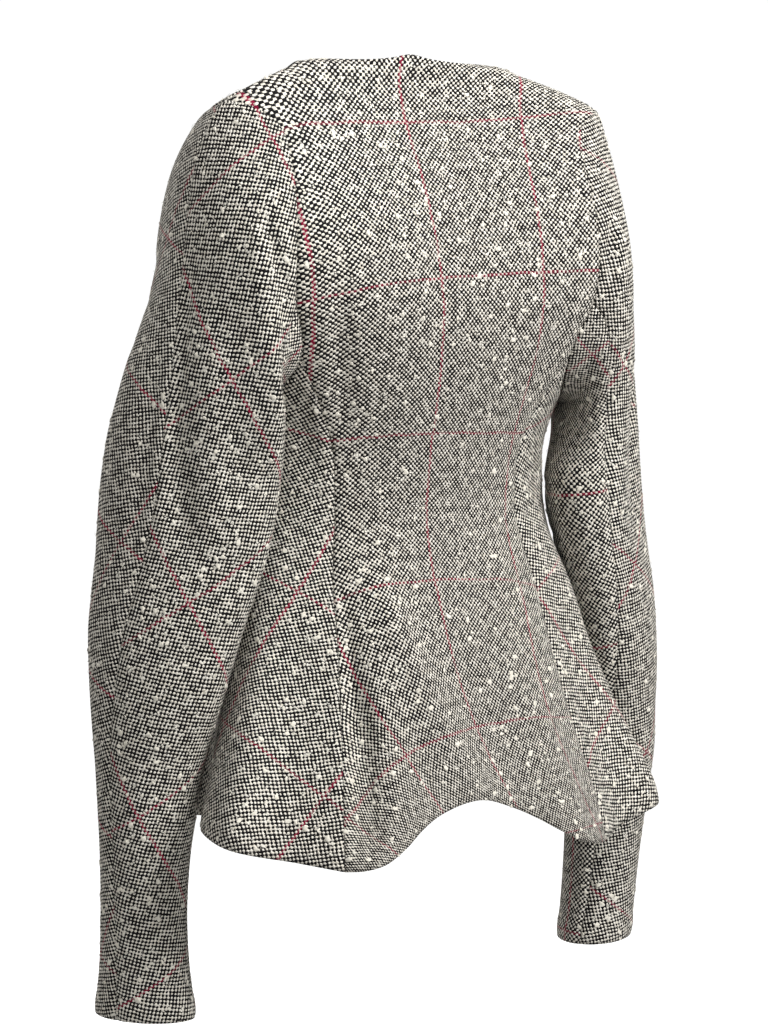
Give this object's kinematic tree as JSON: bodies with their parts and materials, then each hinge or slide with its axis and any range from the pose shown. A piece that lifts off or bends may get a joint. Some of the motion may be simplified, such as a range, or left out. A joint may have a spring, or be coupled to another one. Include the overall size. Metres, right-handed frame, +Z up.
{
  "type": "peplum jacket",
  "caption": "Collarless fitted jacket with princess-line panels, long curved three-piece sleeves and a fluted flared peplum, hanging hollow as if worn.",
  "frame": {"origin": "middle of the neck opening, level with the neck ends of the shoulder seams", "axes": "+Z up, -Y out of the front, +X to the wearer's left"},
  "size_m": [0.5084, 0.3314, 0.7406],
  "materials": {
    "tweed": "matt woven wool, ecru and black with a thin crimson windowpane"
  },
  "bodies": {
    "root": {"back": "tweed", "side_back_left": "tweed", "side_back_right": "tweed", "side_front_left": "tweed", "side_front_right": "tweed", "front_left": "tweed", "front_right": "tweed", "sleeve_back_left": "tweed", "sleeve_back_right": "tweed", "sleeve_front_left": "tweed", "sleeve_front_right": "tweed", "sleeve_under_left": "tweed", "sleeve_under_right": "tweed"}
  },
  "joints": []
}
